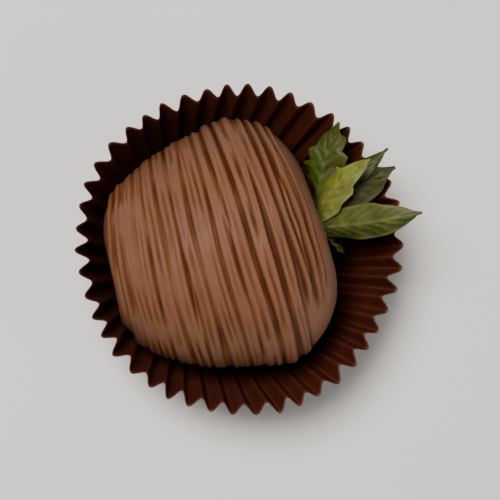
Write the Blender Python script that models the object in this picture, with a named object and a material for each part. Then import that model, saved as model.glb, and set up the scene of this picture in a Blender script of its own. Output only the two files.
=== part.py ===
"""Chocolate coated strawberry lying on its side in a fluted paper case.

Metres, +Z up. The origin is the middle of the paper case's underside. The berry's axis
runs along +X, from its blunt tip to its green crown, and leans up a little at the crown.
"""

import math
import random

import bmesh
import bpy
from mathutils import Matrix, Vector, noise

MM = 0.001
GAP = 0.3 * MM
MERGE_DISTANCE = 0.01 * MM

# Coated berry
BERRY_TIP_LENGTH = 22.6 * MM
BERRY_SHOULDER_LENGTH = 11.9 * MM
BERRY_HALF_WIDTH = 19.2 * MM
BERRY_HALF_HEIGHT = 17.4 * MM
TIP_SQUARENESS = 4.0
SHOULDER_SQUARENESS = 2.15
TIP_TAPER = 0.29
TAPER_START = 0.1
SHOULDER_SKEW = 0.07
DIMPLE_DEPTH = 2.6 * MM
DIMPLE_RADIUS = 6.4 * MM
DIMPLE_RIM = [math.pi - 0.05, math.pi - 0.16, math.pi - 0.26]
AXIS_TILT = math.radians(7)
REST_DEPTH = 1.1 * MM
LUMP_HEIGHT = 0.35 * MM
LUMP_SIZE = 11.0 * MM
LUMP_SHIFT = Vector((3.1, 0.4, 7.7))
WIDEST_X = 2.7 * MM
BERRY_Y = 0.6 * MM
RINGS = 26
SEGMENTS = 36
POLE_MARGIN = 0.02
LINE_STEPS = 30

# Drizzled strands of the same chocolate, lying across the berry side by side. Deeper
# grooves part them in groups, and GROOVES is where these cross the middle of the top.
GROOVES = [
    -22.3, -20.9, -19.4, -17.5, -15.7, -13.2, -10.8, -8.4, -5.2, -3.2, -0.5, 2.5, 5.0, 6.6, 9.6,
]
GROOVE_GAP_TIP = 0.2 * MM
GROOVE_GAP_SHOULDER = 0.7 * MM
STRAND_WIDTH = 1.0 * MM
STRAND_OVERLAP = 1.08
RADIUS_RANGE = (0.94, 1.1)
STRAND_SINK = 0.1 * MM
WAVE_RANGE = (0.08 * MM, 0.2 * MM)
WAVE_LENGTH = 4 * MM
SLOPE_JITTER = 0.012
STRAND_POINTS = 15
STRAND_LEAN = 0.13
STRAND_LOW_ANGLE = math.radians(-22)
SHORT_STRANDS_FROM = 5.0 * MM
SHORT_END = math.radians(138)
END_JITTER = math.radians(8)
END_THICKNESS = 0.55
END_TAPER = 4.0
FAN_SLOPE_TIP = 0.13
FAN_SLOPE_SHOULDER = -0.05
FAN_BEND_TIP = 5.5
FAN_BEND_SHOULDER = -3.5

# Green crown
HUB_RADIUS = 2.9 * MM
HUB_THICKNESS = 1.3 * MM
HUB_FRONT_SHARE = 0.7
HUB_SEGMENTS = 18
STALK_RADIUS = 1.3 * MM
STALK_LENGTH = 2.6 * MM
STALK_END_SHARE = 0.85
STALK_SEGMENTS = 12
LEAF_THICKNESS = 0.5 * MM
LEAF_ROWS = 7
LEAF_COLUMNS = 4
LEAF_BASE = 0.12
LEAF_RING = 2.1 * MM
LEAF_TIP_SHARE = 0.12
LEAF_CUP = 0.3
LEAF_FULLNESS = 0.8
LEAF_RIPPLE = 0.13
RIPPLE_ALONG = 7
RIPPLE_ACROSS = 2.2
TWIST_SHARE = 0.5
NARROW_LEAF = 3.5

# Each leaf: turn round the axis from +Y towards +Z, opening from the axis, length,
# width, how far it bends forward along its length, and how far its blade twists,
# in degrees and millimetres
LEAVES = [
    (24, 78, 14.8, 7.8, 26, 62),
    (54, 76, 13.8, 5.6, 54, 24),
    (26, 21, 13.8, 5.6, 8, 56),
    (105, 44, 16.4, 5.4, 36, 0),
    (17, 31, 14.6, 3.3, 6, 55),
    (-36, 70, 8.6, 4.4, 8, 0),
    (-74, 78, 8.4, 5.0, 14, 0),
    (-116, 76, 8.6, 5.0, 14, 0),
    (-146, 62, 5.0, 2.8, 6, 0),
]

# Paper case
CASE_BASE_RADIUS = 18.2 * MM
CASE_RIM_RADIUS = 24.9 * MM
CASE_HEIGHT = 20.0 * MM
CASE_THICKNESS = 0.45 * MM
CASE_FLUTES = 46
STEPS_PER_FLUTE = 4
CASE_ROWS = 3
FLUTE_DEPTH_BASE = 0.25 * MM
FLUTE_DEPTH_RIM = 0.9 * MM
RIM_UNEVENNESS = 0.45 * MM
BASE_CURL = 1.2 * MM
FLUTE_START = 0.8 * MM

# Slow waves round the rim, as turns and a phase: two move it in and out, one up and down
OUT_WAVES = [(3, 0.6), (5, 2.1)]
RISE_WAVE = (4, 1.2)

BERRY_CENTRE = Vector((WIDEST_X, BERRY_Y, CASE_THICKNESS + GAP - REST_DEPTH + BERRY_HALF_HEIGHT))
BERRY_TURN = Matrix.Rotation(-AXIS_TILT, 4, "Y")
BERRY_TOP = BERRY_CENTRE.z + BERRY_HALF_HEIGHT
REST_HEIGHT = CASE_THICKNESS + GAP


def clear_scene():
    for old in list(bpy.data.objects):
        bpy.data.objects.remove(old)


def make_material(name, colour, roughness):
    """A plain Principled finish in linear colour."""
    material = bpy.data.materials.new(name)
    material.use_nodes = True
    shader = material.node_tree.nodes["Principled BSDF"]
    shader.inputs["Base Color"].default_value = (*colour, 1.0)
    shader.inputs["Roughness"].default_value = roughness
    shader.inputs["Metallic"].default_value = 0.0
    return material


def add_object(name, shape, material, smooth_angle=40):
    """Turn a bmesh into a named object with its material, shaded smooth."""
    mesh = bpy.data.meshes.new(name)
    shape.to_mesh(mesh)
    shape.free()
    mesh.materials.append(material)
    mesh.shade_smooth()
    mesh.set_sharp_from_angle(angle=math.radians(smooth_angle))
    part = bpy.data.objects.new(name, mesh)
    bpy.context.scene.collection.objects.link(part)
    return part


def fuse(part, others, solver="EXACT"):
    """Union a list of objects into one part, in one step, and remove them."""
    pile = bpy.data.collections.new("pieces")
    bpy.context.scene.collection.children.link(pile)
    for other in others:
        bpy.context.scene.collection.objects.unlink(other)
        pile.objects.link(other)
    union = part.modifiers.new("union", "BOOLEAN")
    union.operation = "UNION"
    union.operand_type = "COLLECTION"
    union.collection = pile
    union.solver = solver
    bpy.context.view_layer.update()
    graph = bpy.context.evaluated_depsgraph_get()
    fused = bpy.data.meshes.new_from_object(part.evaluated_get(graph))
    part.modifiers.clear()
    part.data = fused
    for other in others:
        bpy.data.objects.remove(other)
    bpy.data.collections.remove(pile)
    keep_main_shell(fused)


def shell_of(vert, seen):
    """Every point joined by edges to this one."""
    shell = []
    waiting = [vert]
    while waiting:
        current = waiting.pop()
        if current in seen:
            continue
        seen.add(current)
        shell.append(current)
        waiting += [edge.other_vert(current) for edge in current.link_edges]
    return shell


def keep_main_shell(mesh):
    """Fill hollows that a union sealed, drop scraps, and split faces into triangles."""
    shape = bmesh.new()
    shape.from_mesh(mesh)
    seen = set()
    shells = [shell_of(vert, seen) for vert in shape.verts if vert not in seen]
    shells.sort(key=len)
    for shell in shells[:-1]:
        bmesh.ops.delete(shape, geom=shell, context="VERTS")
    bmesh.ops.triangulate(shape, faces=shape.faces)
    shape.to_mesh(mesh)
    shape.free()


def berry_surface(along, around, lift=0.0):
    """A point of the coat. along runs from 0 at the tip to pi at the crown, around turns
    about the axis from +Y towards +Z, and lift raises the point off the surface."""
    tip_side = along < math.pi / 2
    length = BERRY_TIP_LENGTH if tip_side else BERRY_SHOULDER_LENGTH
    power = TIP_SQUARENESS if tip_side else SHOULDER_SQUARENESS
    axial = abs(math.cos(along)) / length
    radial = math.sin(along) / BERRY_HALF_WIDTH
    reach = (axial**power + radial**power) ** (-1 / power)
    x = -reach * math.cos(along)
    share = reach * math.sin(along) / BERRY_HALF_WIDTH
    if tip_side:
        depth = -x / BERRY_TIP_LENGTH
        share *= 1 - TIP_TAPER * depth**2 / (depth + TAPER_START)
    y = share * (BERRY_HALF_WIDTH + lift) * math.cos(around)
    z = share * (BERRY_HALF_HEIGHT + lift) * math.sin(around)
    if not tip_side:
        off_axis = math.hypot(y, z) / DIMPLE_RADIUS
        end = -math.cos(along)
        x -= DIMPLE_DEPTH * math.exp(-off_axis**2)
        x -= SHOULDER_SKEW * y * end
    x += lift * -math.cos(along)
    point = Vector((x, y, z))
    lump = noise.noise(point / LUMP_SIZE + LUMP_SHIFT)
    point += point.normalized() * LUMP_HEIGHT * lump
    point = BERRY_TURN @ point + BERRY_CENTRE
    point.z = max(point.z, REST_HEIGHT)
    return point


def berry_body(material):
    """The coated berry, from a sphere laid along X whose points go to the surface."""
    shape = bmesh.new()
    bmesh.ops.create_uvsphere(shape, u_segments=SEGMENTS, v_segments=RINGS, radius=1)
    for vert in shape.verts:
        along = math.acos(max(-1.0, min(1.0, -vert.co.z)))
        around = math.atan2(vert.co.x, -vert.co.y)
        vert.co = berry_surface(along, around)
    bmesh.ops.recalc_face_normals(shape, faces=shape.faces)
    return add_object("chocolate_berry", shape, material)


def strand_places(draw):
    """Each strand as a line, a radius and the turn where it ends, group by group from
    the tip to the shoulder. The last ones stop short of the bare low shoulder."""
    places = []
    for left, right in zip(GROOVES, GROOVES[1:]):
        share = (left - GROOVES[0]) / (GROOVES[-1] - GROOVES[0])
        gap = GROOVE_GAP_TIP + share * (GROOVE_GAP_SHOULDER - GROOVE_GAP_TIP)
        room = (right - left) * MM - gap
        count = max(1, round(room / STRAND_WIDTH))
        spacing = room / count
        phase = draw.uniform(0, math.tau)
        wave = draw.uniform(*WAVE_RANGE)
        for index in range(count):
            middle = left * MM + gap / 2 + spacing * (index + 0.5)
            slope = draw.uniform(-SLOPE_JITTER, SLOPE_JITTER)
            radius = spacing / 2 * STRAND_OVERLAP * draw.uniform(*RADIUS_RANGE)
            end = SHORT_END if middle > SHORT_STRANDS_FROM else math.pi - STRAND_LOW_ANGLE
            places.append((strand_line(middle, slope, phase, wave), radius, end))
    return places


def strand_line(middle, extra_slope, phase, wave):
    """Where a strand lies: x as a function of y and z, a wavy arc that fans out from
    the shoulder to the tip and leans towards the crown down both sides."""
    share = (middle / MM - GROOVES[0]) / (GROOVES[-1] - GROOVES[0])
    fan = (1 - share) ** 2
    slope = FAN_SLOPE_SHOULDER + fan * (FAN_SLOPE_TIP - FAN_SLOPE_SHOULDER) + extra_slope
    bend = FAN_BEND_SHOULDER + (1 - share) * (FAN_BEND_TIP - FAN_BEND_SHOULDER)

    def line(y, z):
        lean = STRAND_LEAN * (BERRY_TOP - z)
        return middle + slope * y + bend * y * y + wave * math.sin(phase + y / WAVE_LENGTH) + lean

    return line


def on_line(line, around):
    """The point of the coat at this turn that lies on a strand's line, found by halving
    the way between the two poles."""
    low, high = POLE_MARGIN, math.pi - POLE_MARGIN
    for _ in range(LINE_STEPS):
        along = (low + high) / 2
        point = berry_surface(along, around)
        if point.x < line(point.y, point.z):
            low = along
        else:
            high = along
    return berry_surface(along, around, -STRAND_SINK)


def strand(line, radius, end, draw, material):
    """One strand, a tube half sunk in the coat, thinner at its two ends."""
    start = STRAND_LOW_ANGLE + draw.uniform(-END_JITTER, END_JITTER)
    end += draw.uniform(-END_JITTER, END_JITTER)
    curve = bpy.data.curves.new("strand", "CURVE")
    curve.dimensions = "3D"
    curve.bevel_depth = radius
    curve.bevel_resolution = 1
    curve.use_fill_caps = True
    spline = curve.splines.new("POLY")
    spline.points.add(STRAND_POINTS - 1)
    for step, point in enumerate(spline.points):
        share = step / (STRAND_POINTS - 1)
        place = on_line(line, start + share * (end - start))
        point.co = (*place, 1.0)
        point.radius = min(1.0, END_THICKNESS + END_TAPER * min(share, 1 - share))
    tube = bpy.data.objects.new("strand", curve)
    bpy.context.scene.collection.objects.link(tube)
    bpy.context.view_layer.update()
    graph = bpy.context.evaluated_depsgraph_get()
    shape = bmesh.new()
    shape.from_mesh(bpy.data.meshes.new_from_object(tube.evaluated_get(graph)))
    bpy.data.objects.remove(tube)
    bmesh.ops.remove_doubles(shape, verts=shape.verts, dist=MERGE_DISTANCE)
    bmesh.ops.recalc_face_normals(shape, faces=shape.faces)
    return add_object("strand", shape, material)


def coated_berry():
    chocolate = make_material("milk_chocolate", (0.20, 0.085, 0.042), 0.42)
    body = berry_body(chocolate)
    draw = random.Random(11)
    strands = [strand(*place, draw, chocolate) for place in strand_places(draw)]
    fuse(body, strands)
    return body


def leaf(turn, opening, length, width, bend, twist, material):
    """A thin wavy leaf from the hub outwards, pointed, split into triangles alike
    on both faces."""
    shape = bmesh.new()
    columns = 2 if width < NARROW_LEAF else LEAF_COLUMNS
    bmesh.ops.create_grid(shape, x_segments=LEAF_ROWS, y_segments=columns, size=0.5)
    bmesh.ops.triangulate(shape, faces=shape.faces)
    length *= MM
    width *= MM
    bend = math.radians(bend)
    for vert in shape.verts:
        share = vert.co.x + 0.5
        side = vert.co.y * 2
        belly = math.sin(math.pi * min(1.0, LEAF_BASE + (1 - LEAF_BASE) * share)) ** LEAF_FULLNESS
        half = width / 2 * (LEAF_TIP_SHARE + (1 - LEAF_TIP_SHARE) * belly)
        cup = LEAF_CUP * half * side * side
        phase = RIPPLE_ALONG * share + RIPPLE_ACROSS * side + turn
        ripple = LEAF_RIPPLE * half * math.sin(phase) * side
        angle = bend * share
        forward = length * share * math.cos(angle / 2)
        rise = length * share * math.sin(angle / 2)
        roll = math.radians(twist) * min(1.0, share / TWIST_SHARE)
        across = half * side
        lift = cup + ripple
        vert.co = (
            forward,
            across * math.cos(roll) - lift * math.sin(roll),
            rise + across * math.sin(roll) + lift * math.cos(roll),
        )
    bmesh.ops.recalc_face_normals(shape, faces=shape.faces)
    faces = list(shape.faces)
    bmesh.ops.solidify(shape, geom=faces, thickness=LEAF_THICKNESS)
    bmesh.ops.recalc_face_normals(shape, faces=shape.faces)
    outward = math.radians(opening)
    place = (
        Matrix.Rotation(math.radians(turn), 4, "X")
        @ Matrix.Translation((0, LEAF_RING, 0))
        @ Matrix.Rotation(outward, 4, "Z")
        @ Matrix.Rotation(math.pi / 2, 4, "X")
    )
    bmesh.ops.transform(shape, matrix=place, verts=shape.verts)
    return add_object("leaf", shape, material)


def crown_place():
    """The hub's frame: on the axis, its back just clear of the dimple of the crown end."""
    forward = BERRY_TURN @ Vector((1, 0, 0))
    seat = 0.0
    for step in range(HUB_SEGMENTS):
        for along in DIMPLE_RIM:
            point = berry_surface(along, math.tau * step / HUB_SEGMENTS) - BERRY_CENTRE
            seat = max(seat, point.dot(forward))
    centre = BERRY_CENTRE + forward * (seat + GAP + HUB_THICKNESS / 2)
    return Matrix.Translation(centre) @ BERRY_TURN


def calyx():
    """The green crown: leaves round a small hub with the stub of the stalk."""
    green = make_material("crown_green", (0.16, 0.17, 0.035), 0.55)
    shape = bmesh.new()
    upright = Matrix.Rotation(math.pi / 2, 4, "Y")
    bmesh.ops.create_cone(
        shape,
        cap_ends=True,
        segments=HUB_SEGMENTS,
        radius1=HUB_RADIUS,
        radius2=HUB_RADIUS * HUB_FRONT_SHARE,
        depth=HUB_THICKNESS,
        matrix=upright,
    )
    hub = add_object("calyx", shape, green)
    stub = bmesh.new()
    bmesh.ops.create_cone(
        stub,
        cap_ends=True,
        segments=STALK_SEGMENTS,
        radius1=STALK_RADIUS,
        radius2=STALK_RADIUS * STALK_END_SHARE,
        depth=STALK_LENGTH,
        matrix=Matrix.Translation((STALK_LENGTH / 2, 0, 0)) @ upright,
    )
    pieces = [add_object("stub", stub, green)]
    pieces += [leaf(*values, green) for values in LEAVES]
    fuse(hub, pieces, "MANIFOLD")
    hub.data.transform(crown_place())
    return hub


def case_profile():
    """The wall's section as (radius, height) from the middle of the underside, out, up the
    outer face, over the rim, down the inner face and in to the middle of the floor."""
    flat_disc = CASE_BASE_RADIUS - BASE_CURL
    points = [(0, 0), (flat_disc, 0)]
    rows = [row / CASE_ROWS for row in range(CASE_ROWS + 1)]
    slope = CASE_RIM_RADIUS - CASE_BASE_RADIUS
    points += [(CASE_BASE_RADIUS + slope * row, CASE_HEIGHT * row) for row in rows]
    for row in reversed(rows):
        height = CASE_THICKNESS + (CASE_HEIGHT - CASE_THICKNESS) * row
        radius = CASE_BASE_RADIUS + slope * height / CASE_HEIGHT - CASE_THICKNESS
        points.append((radius, height))
    points += [(flat_disc, CASE_THICKNESS), (0, CASE_THICKNESS)]
    return points


def paper_case():
    """The fluted case: a turned section whose wall is pushed in and out in flutes."""
    brown = make_material("brown_paper", (0.045, 0.016, 0.008), 0.5)
    shape = bmesh.new()
    verts = [shape.verts.new((radius, 0, height)) for radius, height in case_profile()]
    edges = [shape.edges.new(pair) for pair in zip(verts, verts[1:])]
    bmesh.ops.spin(
        shape,
        geom=verts + edges,
        axis=(0, 0, 1),
        cent=(0, 0, 0),
        steps=CASE_FLUTES * STEPS_PER_FLUTE,
        angle=math.tau,
        use_merge=True,
    )
    bmesh.ops.remove_doubles(shape, verts=shape.verts, dist=MERGE_DISTANCE)
    for vert in shape.verts:
        radius = math.hypot(vert.co.x, vert.co.y)
        if radius < CASE_BASE_RADIUS - FLUTE_START:
            continue
        angle = math.atan2(vert.co.y, vert.co.x)
        height = vert.co.z / CASE_HEIGHT
        depth = FLUTE_DEPTH_BASE + (FLUTE_DEPTH_RIM - FLUTE_DEPTH_BASE) * height
        waves = [math.sin(turns * angle + phase) for turns, phase in OUT_WAVES]
        uneven = sum(waves) / len(waves)
        flute = depth * math.sin(CASE_FLUTES * angle)
        lean = RIM_UNEVENNESS * height * uneven
        scale = (radius + flute + lean) / radius
        vert.co.x *= scale
        vert.co.y *= scale
        vert.co.z += RIM_UNEVENNESS * height**3 * math.sin(RISE_WAVE[0] * angle + RISE_WAVE[1])
    bmesh.ops.recalc_face_normals(shape, faces=shape.faces)
    bmesh.ops.triangulate(shape, faces=shape.faces)
    return add_object("paper_case", shape, brown)


def main():
    clear_scene()
    coated_berry()
    calyx()
    paper_case()


main()
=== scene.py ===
"""Looks of a chocolate coated strawberry lying in a fluted paper case.

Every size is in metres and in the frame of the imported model: +Z up, the origin under the
middle of the case, the berry's axis along +X from its blunt tip to its green crown.
"""

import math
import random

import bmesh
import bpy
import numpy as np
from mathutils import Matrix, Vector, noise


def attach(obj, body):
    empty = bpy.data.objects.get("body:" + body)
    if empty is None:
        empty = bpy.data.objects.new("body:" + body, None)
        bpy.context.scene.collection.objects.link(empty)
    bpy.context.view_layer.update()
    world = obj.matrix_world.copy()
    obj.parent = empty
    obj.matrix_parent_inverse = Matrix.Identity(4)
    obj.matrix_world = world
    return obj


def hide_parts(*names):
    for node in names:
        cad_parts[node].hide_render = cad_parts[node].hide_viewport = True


bl_info = {
    "name": "Chocolate coated strawberry",
    "version": (1, 0, 0),
    "blender": (4, 5, 0),
    "location": "View3D > Sidebar > Strawberry",
    "description": "Drizzled chocolate coat, leafy crown and fluted paper case",
    "category": "Add Mesh",
}

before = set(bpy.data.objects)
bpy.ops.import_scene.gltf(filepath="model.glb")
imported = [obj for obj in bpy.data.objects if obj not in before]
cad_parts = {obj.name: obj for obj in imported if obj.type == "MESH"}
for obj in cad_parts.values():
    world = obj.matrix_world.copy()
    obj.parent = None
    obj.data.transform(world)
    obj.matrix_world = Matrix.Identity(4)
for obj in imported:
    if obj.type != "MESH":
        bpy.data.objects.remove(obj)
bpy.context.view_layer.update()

MM = 0.001
GAP = 0.3 * MM
MERGE_DISTANCE = 0.002 * MM

# The coat's form, as the solid has it
TIP_LENGTH = 22.6 * MM
SHOULDER_LENGTH = 11.9 * MM
HALF_WIDTH = 19.2 * MM
HALF_HEIGHT = 17.4 * MM
TIP_SQUARENESS = 4.0
SHOULDER_SQUARENESS = 2.15
TIP_TAPER = 0.29
TAPER_START = 0.1
SHOULDER_SKEW = 0.07
DIMPLE_DEPTH = 2.6 * MM
DIMPLE_RADIUS = 6.4 * MM
DIMPLE_RIM = [math.pi - 0.05, math.pi - 0.16, math.pi - 0.26]
DIMPLE_STEPS = 18
AXIS_TILT = math.radians(7)
REST_DEPTH = 1.1 * MM
LUMP_HEIGHT = 0.35 * MM
LUMP_SIZE = 11.0 * MM
LUMP_SHIFT = Vector((3.1, 0.4, 7.7))
WIDEST_X = 2.7 * MM
BERRY_Y = 0.6 * MM

# The drizzled strands, drawn in the solid's own order; the grooves are in millimetres
DRIZZLE_SEED = 11
GROOVES = [
    -22.3, -20.9, -19.4, -17.5, -15.7, -13.2, -10.8, -8.4, -5.2, -3.2, -0.5, 2.5, 5.0, 6.6, 9.6,
]
GROOVE_GAP_TIP = 0.2 * MM
GROOVE_GAP_SHOULDER = 0.7 * MM
STRAND_WIDTH = 1.0 * MM
STRAND_OVERLAP = 1.08
RADIUS_RANGE = (0.94, 1.1)
STRAND_SINK = 0.1 * MM
WAVE_RANGE = (0.08 * MM, 0.2 * MM)
WAVE_LENGTH = 4 * MM
SLOPE_JITTER = 0.012
STRAND_LEAN = 0.13
STRAND_LOW_ANGLE = math.radians(-22)
SHORT_STRANDS_FROM = 5.0 * MM
SHORT_END = math.radians(138)
END_JITTER = math.radians(8)
FAN_SLOPE_TIP = 0.13
FAN_SLOPE_SHOULDER = -0.05
FAN_BEND_TIP = 5.5
FAN_BEND_SHOULDER = -3.5

# A strand's swellings as height, turns of its phase, shift with its place, and length
SWELLINGS = [(0.09, 5, 40, 2.9 * MM), (0.05, 3, 17, 1.2 * MM)]

# How steep the coat may be for a strand's offset, how softly a strand ends, how far its
# chocolate spreads beside it, and how much a strand below another still shows
STEEPEST = 0.05
END_SOFTNESS = 0.03
START_FADE = 0.10
LOW_END_FADE = 0.10
SHORT_END_FADE = 0.32
SPREAD_RANGE = (0.1 * MM, 0.8 * MM)
SECOND_SHARE = 0.3

# The thin threads over the strands
THREADS_FROM_GROOVE = 2
THREAD_SLOPE = 0.07
THREAD_RADIUS = (0.20, 0.32)
THREAD_END_JITTER = 0.5
THREAD_END_FADE = 0.30
THREAD_SHARE = 0.6

# Soft dents of set chocolate, as size and height
DENTS = [(3.4 * MM, 0.07 * MM), (1.3 * MM, 0.02 * MM)]

# How far chocolate has run together inside a group and between groups: at the tip, gain
# towards the crown, gain in patches, gain on the low side, and the least and most
PATCH_STRETCH = (0.62, 0.17, 0.17)
LOW_SIDE = (9 * MM, 15 * MM)
LOW_CROWN_SHARE = (0.3, 0.7)
RUN_INSIDE = (0.90, -0.40, 0.6, 0.2, 0.15, 0.94)
RUN_BETWEEN = (0.80, -0.95, 0.6, 0.35, 0.0, 0.88)

# Where the coat's rings lie close together
PROFILE_STEPS = 2400
DRIZZLED_HEIGHT = 9 * MM
DRIZZLED_MARGIN = 1.0
BARE_RING_SHARE = 0.33

# The crown
HUB_RADIUS = 2.9 * MM
HUB_THICKNESS = 1.3 * MM
STALK_RADIUS = 1.3 * MM
STALK_LENGTH = 2.6 * MM
LEAF_BASE = 0.12
LEAF_RING = 2.1 * MM
LEAF_TIP_SHARE = 0.12
LEAF_CUP = 0.3
LEAF_RIPPLE = 0.13
TWIST_SHARE = 0.5

# The hub's section from its back to the stub's end, as place along the axis and radius
HUB_SECTION = [
    (-HUB_THICKNESS / 2, 0),
    (-HUB_THICKNESS / 2, HUB_RADIUS * 0.9),
    (-HUB_THICKNESS * 0.2, HUB_RADIUS),
    (HUB_THICKNESS * 0.2, HUB_RADIUS * 0.92),
    (HUB_THICKNESS * 0.45, HUB_RADIUS * 0.66),
    (HUB_THICKNESS * 0.62, STALK_RADIUS * 1.25),
    (HUB_THICKNESS * 1.0, STALK_RADIUS * 0.98),
    (STALK_LENGTH * 0.92, STALK_RADIUS * 0.9),
    (STALK_LENGTH, STALK_RADIUS * 0.78),
    (STALK_LENGTH * 0.94, STALK_RADIUS * 0.4),
    (STALK_LENGTH * 0.93, 0),
]
HUB_STEPS = 60
HUB_LOBES = [(0.05, 5), (0.03, 11)]
LOBES_FROM = STALK_RADIUS * 1.1

# A leaf's outline, its teeth, and the ripples, veins and midrib of its blade
LEAF_GRID = (56, 20)
BELLY_ROUNDNESS = 0.8
POINT_FROM = 0.7
POINT_NARROWING = 0.75
POINT_CURVE = 1.6
TEETH_GROW = (0.2, 0.4)
TOOTH_RATE = 1.35
TOOTH_SIDE_SHIFT = 0.3
TOOTH_SWEEP = 0.1
TOOTH_CLIMB = 0.8
TOOTH_DEPTH = 0.26
TOOTH_UNEVENNESS = 0.14
TOOTH_TURN = 5.1
TOOTH_SIDE_TURN = 2.0
TOOTH_HOLLOW = 0.7
RIPPLE_RATE = 7
RIPPLE_SWEEP = 2.2
EDGE_RIPPLE = 0.05
EDGE_RIPPLE_RATE = 19
VEIN_RATE = 46
VEIN_SWEEP = 0.55
VEIN_HEIGHT = 0.016
RIB_DEPTH = 0.03
RIB_WIDTH = 0.09
RIB_FADE = 0.6

# The case
CASE_BASE_RADIUS = 18.2 * MM
CASE_RIM_RADIUS = 24.9 * MM
CASE_HEIGHT = 20.0 * MM
CASE_THICKNESS = 0.45 * MM
CASE_FLUTES = 46
FLUTE_DEPTH_BASE = 0.25 * MM
FLUTE_DEPTH_RIM = 0.9 * MM
RIM_UNEVENNESS = 0.45 * MM
CASE_ROWS = 22
STEPS_PER_FLUTE = 12
BASE_MARGIN = 1.2 * MM
WALL_FROM = CASE_BASE_RADIUS - 0.8 * MM
FOLD_SHARPNESS = 6

# Slow waves round the case, as height, turns and phase; a flute's shift also turns with
# the height
FLUTE_SHIFTS = [(0.30, 9, 1.0, 0.0), (0.22, 13, 4.0, 2.0)]
DEPTH_WAVES = [(0.12, 11, 0.7), (0.10, 17, 2.9)]
WALL_WAVES = [(0.5, 3, 0.6), (0.5, 5, 2.1)]
RIM_WAVES = [(1.0, 4, 1.2)]
RIM_WAVE_CURVE = 3

REST_HEIGHT = CASE_THICKNESS + GAP
BERRY_CENTRE = Vector((WIDEST_X, BERRY_Y, REST_HEIGHT - REST_DEPTH + HALF_HEIGHT))
BERRY_TURN = Matrix.Rotation(-AXIS_TILT, 4, "Y")
BERRY_TOP = BERRY_CENTRE.z + HALF_HEIGHT

# Each leaf: name, turn round the axis, opening from it, length, width, bend and twist in
# degrees and millimetres, teeth along its edge, and its finish
# The dark finish is painted shade: a darker copy of the leaf colours for the leaves that lie in
# shade
LEAVES = [
    ("leaf_side", 24, 78, 14.8, 7.8, 26, 62, 4, "middle"),
    ("leaf_bright", 54, 76, 13.8, 5.6, 54, 24, 2, "bright"),
    ("leaf_low", 26, 21, 13.8, 5.6, 8, 56, 0, "dark"),
    ("leaf_long", 105, 44, 16.4, 5.4, 36, 0, 0, "pale"),
    ("leaf_behind", 17, 31, 14.6, 3.3, 6, 55, 0, "dark"),
    ("leaf_under_a", -36, 70, 8.6, 4.4, 8, 0, 0, "dark"),
    ("leaf_under_b", -74, 78, 8.4, 5.0, 14, 0, 2, "middle"),
    ("leaf_under_c", -116, 76, 8.6, 5.0, 14, 0, 0, "dark"),
    ("leaf_under_d", -146, 62, 5.0, 2.8, 6, 0, 0, "middle"),
]

# Noise in the finishes
UNIT = (0.0, 1.0)
GRAIN_DETAIL = 4.0
GRAIN_ROUGHNESS = 0.6
MASK_RATE = 0.13
CLOUD_DETAIL = 3.0
CLOUD_ROUGHNESS = 0.55
FINE_BUMP_DISTANCE = 0.10 * MM
BROAD_BUMP_DISTANCE = 0.12 * MM

# The chocolate's finish: the places of its three colours from crest to groove, as painted sheen
# on the strands' tops and painted shade on their sides and in the grooves, and its clouds,
# grain and streaks
CREST_STOP = 0.04
FLANK_STOP = 0.30
GROOVE_STOP = 0.82
CHOCOLATE_CLOUDS = {"Size": 7 * MM, "Amount": 0.20}
CHOCOLATE_GRAIN = {"Size": 0.35 * MM}
CHOCOLATE_STREAKS = {"Size": 0.28 * MM, "Stretch": (1.0, 0.12, 0.25)}
CHOCOLATE_ROUGHNESS = (0.48, 0.66)
CHOCOLATE_SHINE = 0.13
CHOCOLATE_GLOW = 0.06
CHOCOLATE_GLOW_DEPTH = 0.8 * MM
CHOCOLATE_GRAIN_BUMP = 0.18
CHOCOLATE_STREAK_BUMP = 0.30

# The leaves' finish: ranges read from the blade, and how strongly each shows
LEAF_CLOUDS = {"Size": 1.9 * MM, "Amount": 0.80}
LEAF_GRAIN = {"Size": 0.22 * MM}
LEAF_ROUGHNESS = (0.40, 0.66)
LEAF_SHINE = 0.2
LEAF_GRAIN_BUMP = 0.25
VEIN_BUMP = 0.35
WANDER_RATE = 5.0
WANDER_DETAIL = 2.0
VEIN_WANDER = 0.16
EDGE_WANDER = 0.14
VEIN_RANGE = (0.45, 1.0)
VEIN_SHOW = (0.0, 0.17)
RIB_RANGE = (0.0, 0.07)
RIB_SHOW = (0.5, 0.0)
EDGE_RANGE = (0.49, 0.58)
EDGE_SHOW = (0.0, 0.8)
# Where the painted light and shade of a leaf's far half sets in across the blade
HALF_SHADE_RANGE = (0.52, 0.72)

# The paper's finish
PAPER_CLOUDS = {"Size": 5 * MM, "Amount": 0.35}
PAPER_FIBRES = {"Size": 0.20 * MM, "Stretch": (1.0, 1.0, 0.35)}
PAPER_ROUGHNESS = (0.36, 0.58)
PAPER_SHINE = 0.25
PAPER_BUMP = 0.5
# How much paler the paper is along its folds, and where
PALE_FOLD_GAIN = 2.1
PALE_FOLD_RANGE = (0.55, 1.0)
PALE_FOLD_SHOW = (0.0, 0.8)

# The stage: the camera's direction and its aim, and the lights' places from that aim, all
# to the right, up the picture and up from the floor
FLOOR_CLOUDS = {"Size": 0.05, "Amount": 0.02}
FLOOR_ROUGHNESS = 0.6
FLOOR_SIZE = 0.6
FLOOR_GRID = 8
PICTURE_TURN = math.radians(15)
CAMERA_BACK = (-0.146, -0.053, 0.988)
AIM = (2.0 * MM, 0, 16 * MM)
KEY_PLACE = (-0.16, 0.09, 0.50)
KEY_SIZE = 0.20
KEY_COLOUR = (1.0, 0.97, 0.925)
FILL_PLACE = (0.40, -0.24, 0.16)
FILL_SIZE = 0.30
FILL_COLOUR = (1.0, 0.97, 0.93)
ROOM_COLOUR = (1.0, 0.99, 0.97)
SENSOR_WIDTH = 36
NEAREST_SEEN = 0.01


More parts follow.
